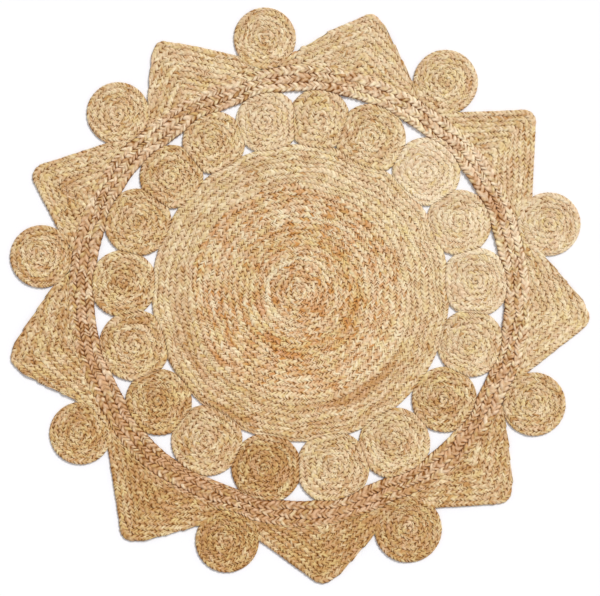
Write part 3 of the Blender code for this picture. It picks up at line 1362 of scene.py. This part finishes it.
def joined_mesh(name: str, tubes: list[Tube]) -> bpy.types.Mesh:
    """Make one mesh of several tubes, with their map and values.

    Args:
        name: The mesh's name.
        tubes: The tubes.

    Returns:
        The mesh.
    """
    counts = [tube.spots.shape[0] * tube.spots.shape[1] for tube in tubes]
    offsets = np.concatenate([[0], np.cumsum(counts)[:-1]])
    faces = [tube.faces() for tube in tubes]
    loops = np.concatenate([rows + offset for (rows, _), offset in zip(faces, offsets)])
    sizes = np.concatenate([sizes for _, sizes in faces])
    starts = np.concatenate([[0], np.cumsum(sizes)[:-1]])
    mesh = bpy.data.meshes.new(name)
    mesh.vertices.add(sum(counts))
    mesh.vertices.foreach_set("co", np.concatenate([tube.spots.ravel() for tube in tubes]))
    mesh.loops.add(len(loops))
    mesh.loops.foreach_set("vertex_index", loops)
    mesh.polygons.add(len(sizes))
    mesh.polygons.foreach_set("loop_start", starts)
    mesh.polygons.foreach_set("use_smooth", np.ones(len(sizes), dtype=bool))
    mesh.update(calc_edges=True)
    layer = mesh.uv_layers.new(name="braid")
    layer.uv.foreach_set("vector", np.concatenate([closed_map(tube) for tube in tubes]))
    # The groove values are painted shade, by which the jute group darkens the colour.
    groove = np.concatenate([tube.groove.ravel() for tube in tubes])
    tone = np.concatenate([with_caps(tube.lobe_tone) for tube in tubes])
    hue = np.concatenate([with_caps(tube.lobe_hue) for tube in tubes])
    store(mesh, "groove", "POINT", groove)
    store(mesh, "lobe_tone", "FACE", tone)
    store(mesh, "lobe_hue", "FACE", hue)
    return mesh


def closed_map(tube: Tube) -> np.ndarray:
    """A tube's map in one row, two numbers for each corner, with its caps' all at 0."""
    caps = np.zeros(2 * 2 * tube.spots.shape[1])
    return np.concatenate([tube.lobe_map.ravel(), caps])


def with_caps(values: np.ndarray) -> np.ndarray:
    """The values of a tube's faces in one row, with a cap at each end."""
    return np.concatenate([values.ravel(), [values[0, 0], values[-1, 0]]])


def store(mesh: bpy.types.Mesh, name: str, domain: str, values: np.ndarray) -> None:
    """Keep one number for each vertex or face of a mesh."""
    kept = mesh.attributes.new(name, "FLOAT", domain)
    kept.data.foreach_set("value", np.ascontiguousarray(values, dtype=np.float32))


# ---------------------------------------------------------------- the rug


FINE_BRAID = Braid(width=0.011, thickness=0.008, lobe_pitch=0.0082)
POINT_BRAID = replace(
    FINE_BRAID, lobe_pitch=0.0086, press=1.08,
    crest=(0.18, 0.80, 1.0, 0.82, 1.0, 0.80, 0.18, -0.74, -1.0, -0.74),
    groove=(-0.12, 0.34, 0.50, 0.68, 0.50, 0.34, -0.12, -0.70, -0.95, -0.70),
)
BAND_BRAID = Braid(
    width=0.0175, thickness=0.010, lobe_pitch=0.0112, slant=0.95, steps=6, middle_sway=0.20,
    uneven_pitch=0.46, uneven_height=0.18,
    crest=(0.30, 0.86, 1.0, 0.60, 1.0, 0.86, 0.30, -0.80, -1.0, -0.80),
    groove=(-0.35, 0.10, 0.36, 0.28, 0.36, 0.10, -0.35, -0.74, -0.95, -0.74),
    # Painted shade in the band's grooves and along the edges where its turns meet.
    painted_shade=(1.0, 0.90, 0.70, 0.75, 0.70, 0.90, 1.0, 0.50, 0.40, 0.50),
    painted_edge_shade=(0.60, 0.08, 0.0, 0.35, 0.0, 0.08, 0.60, 0.20, 0.0, 0.20),
)
HEART_JUTE = JuteFinish(
    tone=0.505, contrast=1.2, pale=(0.885, 0.765, 0.525), warm=(0.60, 0.268, 0.066)
)
FIELD_JUTE = JuteFinish(tone=0.39, contrast=0.95)
BAND_JUTE = JuteFinish(
    tone=0.215, redness=0.20, contrast=1.5, pale=(0.965, 0.835, 0.60), shade=(0.24, 0.085, 0.012)
)


@dataclass
class JuteRug:
    """The whole rug, from its middle outwards. Tones go clockwise from the rug's top, and are
    darker towards the bottom and lower left.
    """

    splice_turn: float = 19.0
    start_step: float = 2.4
    point_depth: float = 0.088
    inner_tones: tuple[float, ...] = (
        0.45, 0.51, 0.21, 0.35, 0.31, 0.42, 0.70, 0.56, 0.51, 0.98, 0.54, 0.84, 0.62, 0.70,
        0.63, 0.65, 0.61, 0.33,
    )
    round_tones: tuple[float, ...] = (0.41, 0.30, 0.57, 0.78, 1.03, 0.79, 0.61, 0.51, 0.47)
    point_tones: tuple[float, ...] = (0.45, 0.47, 0.47, 0.66, 0.87, 0.84, 0.64, 0.56, 0.48)
    disc_stains: tuple[Stain, ...] = (
        Stain(0.0, 0.025, 400.0, 0.022, -0.25, 0.0),
        Stain(0.0, 0.066, 400.0, 0.009, -0.50, 0.1),
        Stain(0.0, 0.086, 400.0, 0.009, 0.40, 0.2),
        Stain(0.0, 0.112, 400.0, 0.018, 0.3, -0.5),
        Stain(251.0, 0.052, 6.0, 0.006, 4.0, 0.5),
        Stain(341.0, 0.055, 6.0, 0.006, 4.0, 0.5),
        Stain(131.5, 0.060, 6.0, 0.006, 3.8, 0.6),
        Stain(86.0, 0.064, 5.0, 0.005, 3.4, 0.0),
        Stain(134.0, 0.042, 8.0, 0.006, 2.2, 0.8),
        Stain(246.0, 0.088, 7.0, 0.006, 3.6, 1.3),
        Stain(211.0, 0.110, 10.0, 0.007, 3.2, 1.4),
        Stain(193.0, 0.130, 12.0, 0.006, 2.6, 1.1),
        Stain(44.6, 0.114, 7.0, 0.006, 2.2, 0.6),
        Stain(101.0, 0.116, 7.0, 0.006, 2.0, 0.5),
        Stain(121.0, 0.113, 5.0, 0.006, 4.4, 0.3),
    )
    # The first makes the field darker towards the bottom.
    field_stains: tuple[Stain, ...] = (
        Stain(185.0, 0.270, 75.0, 0.070, 0.7, 0.0),
        Stain(150.0, 0.240, 22.0, 0.012, 1.2, 0.4),
        Stain(240.0, 0.262, 12.0, 0.008, 1.4, 0.4),
        Stain(208.0, 0.285, 9.0, 0.007, 1.6, 0.2),
        Stain(62.0, 0.250, 16.0, 0.008, -1.2, -0.4),
    )
    # The first two make the band darker over its lower half, and a little darker at its top.
    band_stains: tuple[Stain, ...] = (
        Stain(208.0, 0.450, 102.0, 1.0, 1.50, 0.3),
        Stain(2.0, 0.450, 68.0, 1.0, 0.22, 0.15),
        Stain(128.0, 0.452, 10.0, 0.014, 0.9, 0.4),
        Stain(216.0, 0.440, 8.0, 0.012, 1.0, 0.5),
        Stain(66.0, 0.440, 5.0, 0.010, 1.4, 1.0),
        Stain(251.0, 0.455, 7.0, 0.012, 0.8, 0.6),
        Stain(161.0, 0.440, 5.0, 0.009, 1.2, 0.8),
    )
    middle: np.ndarray = field(init=False)

    def __post_init__(self) -> None:
        """Find the rug's middle, which is the centre disc's."""
        self.middle = box_middle(node_corners("centre_disc"))

    def keep(self, piece: BraidedPiece) -> None:
        """Build a piece and report it.

        Args:
            piece: The piece.
        """
        piece.rug_middle = self.middle
        made = piece.build()
        count = len(made.data.loops) - 2 * len(made.data.polygons)
        LOG.info("%s: %d triangles", made.name, count)

    def build_centre(self) -> None:
        """The large disc, in two lengths of braid: its heart and the field around it."""
        outline = Outline.around(node_corners("centre_disc"), self.middle)
        waver = Waver(seed=3)
        coil = Coil(outline, FINE_BRAID, waver, rays=720, rings=150, samples_per_turn=720)
        heart_size = 2.0 * (self.splice_turn + 1.0) * FINE_BRAID.width
        heart = coil.runs(last=self.splice_turn)
        around = coil.runs(first=self.splice_turn)
        self.keep(BraidedPiece("disc_heart", "centre_disc", Part.CENTRE, FINE_BRAID, heart,
                               HEART_JUTE, (heart_size, heart_size), self.disc_stains))
        self.keep(BraidedPiece("disc_field", "centre_disc", Part.CENTRE, FINE_BRAID, around,
                               FIELD_JUTE, outline.size, self.field_stains))

    def build_round(self, node: str, part: Part, tone: float, number: int) -> None:
        """One small round, wound about the middle of its own outline.

        Args:
            node: The solid's name.
            part: The kind of round.
            tone: The round's tone.
            number: The round's number in its ring.
        """
        corners = node_corners(node)
        outline = Outline.around(corners, box_middle(corners))
        waver = Waver(zlib.crc32(node.encode()))
        coil = Coil(outline, FINE_BRAID, waver, start_turn=self.start_step * number)
        self.keep(BraidedPiece(node + "_coil", node, part, FINE_BRAID, coil.runs(),
                               JuteFinish.of_tone(tone), outline.size))

    def build_point(self, node: str, tone: float) -> None:
        """One point, in rows that follow its two free sides.

        Args:
            node: The solid's name.
            tone: The point's tone.
        """
        corners = node_corners(node)
        offsets = corners - self.middle
        reach = np.linalg.norm(offsets, axis=1)
        tip = offsets[np.argmax(reach)]
        inside = self.middle + tip * (1.0 - self.point_depth / reach.max())
        outline = Outline.around(corners, inside)
        rows = VRows(outline, self.middle, POINT_BRAID, Waver(zlib.crc32(node.encode())))
        self.keep(BraidedPiece(node + "_rows", node, Part.EDGE_POINT, POINT_BRAID, rows.runs(),
                               JuteFinish.of_tone(tone), rows.flat))

    def build_band(self) -> None:
        """The ring of thicker braid. Its flat size is that of its three turns, side by side."""
        corners = node_corners("band")
        reach = np.linalg.norm(corners - self.middle, axis=1)
        halfway = (reach.min() + reach.max()) / 2.0
        outer = Outline.around(corners[reach > halfway], self.middle)
        inner = Outline.around(corners[reach <= halfway], self.middle)
        ring = Ring(outer, inner, BAND_BRAID, Waver(seed=11, most_counts=90.0), start_turn=4.0)
        runs = ring.runs()
        width = ring.whole_turns * BAND_BRAID.width
        flat = (BAND_BRAID.press * width, sum(run.area for run in runs) / width)
        self.keep(BraidedPiece("band_turns", "band", Part.BAND, BAND_BRAID, runs,
                               BAND_JUTE, flat, self.band_stains))

    def build(self) -> None:
        """Build every piece."""
        self.build_centre()
        for number, tone in enumerate(self.inner_tones, start=1):
            self.build_round(f"inner_round_{number:02d}", Part.INNER_ROUND, tone, number)
        self.build_band()
        for number, tone in enumerate(self.point_tones, start=1):
            self.build_point(f"edge_point_{number:02d}", tone)
        for number, tone in enumerate(self.round_tones, start=1):
            self.build_round(f"edge_round_{number:02d}", Part.EDGE_ROUND, tone, number)


# ---------------------------------------------------------------- studio


@dataclass
class Studio:
    """A plain pale floor, soft light and a camera straight above."""

    picture_width: float = 1.248
    picture_middle: tuple[float, float] = (0.0007, -0.0055)
    camera_height: float = 5.0
    sensor: float = 36.0
    floor_size: float = 30.0
    floor_colour: Colour = (0.890, 0.890, 0.920)
    floor_roughness: float = 0.9
    sun_colour: Colour = (1.0, 1.0, 0.98)
    sun_strength: float = 2.34
    sun_from: Triple = (0.50, 0.62, 1.0)
    sun_distance: float = 3.0
    sun_width: float = math.radians(18.0)
    sky_colour: Colour = (0.985, 0.985, 1.0)
    sky_strength: float = 0.56
    view_end: float = 100.0

    def build_floor(self) -> None:
        """The floor that the rug lies on."""
        half = self.floor_size / 2.0
        mesh = bpy.data.meshes.new("floor")
        corners = [(-half, -half, 0.0), (half, -half, 0.0), (half, half, 0.0), (-half, half, 0.0)]
        mesh.from_pydata(corners, [], [(0, 1, 2, 3)])
        floor = bpy.data.objects.new("floor", mesh)
        bpy.context.scene.collection.objects.link(floor)
        material = bpy.data.materials.new("floor_paint")
        material.use_nodes = True
        shader = material.node_tree.nodes["Principled BSDF"]
        shader.inputs["Base Color"].default_value = (*self.floor_colour, 1.0)
        shader.inputs["Roughness"].default_value = self.floor_roughness
        mesh.materials.append(material)

    def build_light(self) -> None:
        """One wide soft light from the picture's upper right, and even light all around."""
        lamp = bpy.data.lights.new("key", "SUN")
        lamp.energy = self.sun_strength
        lamp.angle = self.sun_width
        lamp.color = self.sun_colour
        key = bpy.data.objects.new("key", lamp)
        key.location = Vector(self.sun_from) * self.sun_distance
        key.rotation_euler = (-Vector(self.sun_from)).to_track_quat("-Z", "Y").to_euler()
        bpy.context.scene.collection.objects.link(key)
        world = bpy.data.worlds.new("studio")
        world.use_nodes = True
        sky = world.node_tree.nodes["Background"]
        sky.inputs["Color"].default_value = (*self.sky_colour, 1.0)
        sky.inputs["Strength"].default_value = self.sky_strength
        bpy.context.scene.world = world

    def build_camera(self) -> None:
        """A long lens straight above, with the rug's top (+Y) at the top of the picture."""
        lens = bpy.data.cameras.new("camera")
        lens.sensor_width = self.sensor
        lens.lens = self.sensor * self.camera_height / self.picture_width
        lens.clip_end = self.view_end
        camera = bpy.data.objects.new("camera", lens)
        camera.location = (*self.picture_middle, self.camera_height)
        bpy.context.scene.collection.objects.link(camera)
        bpy.context.scene.camera = camera

    def build(self) -> None:
        """Set up the whole studio."""
        self.build_floor()
        self.build_light()
        self.build_camera()
        bpy.context.scene.view_settings.view_transform = "Standard"


def main() -> None:
    """Build the rug and its studio."""
    logging.basicConfig(level=logging.INFO, format="%(name)s: %(message)s")
    Studio().build()
    JuteRug().build()


if __name__ == "__main__":
    main()
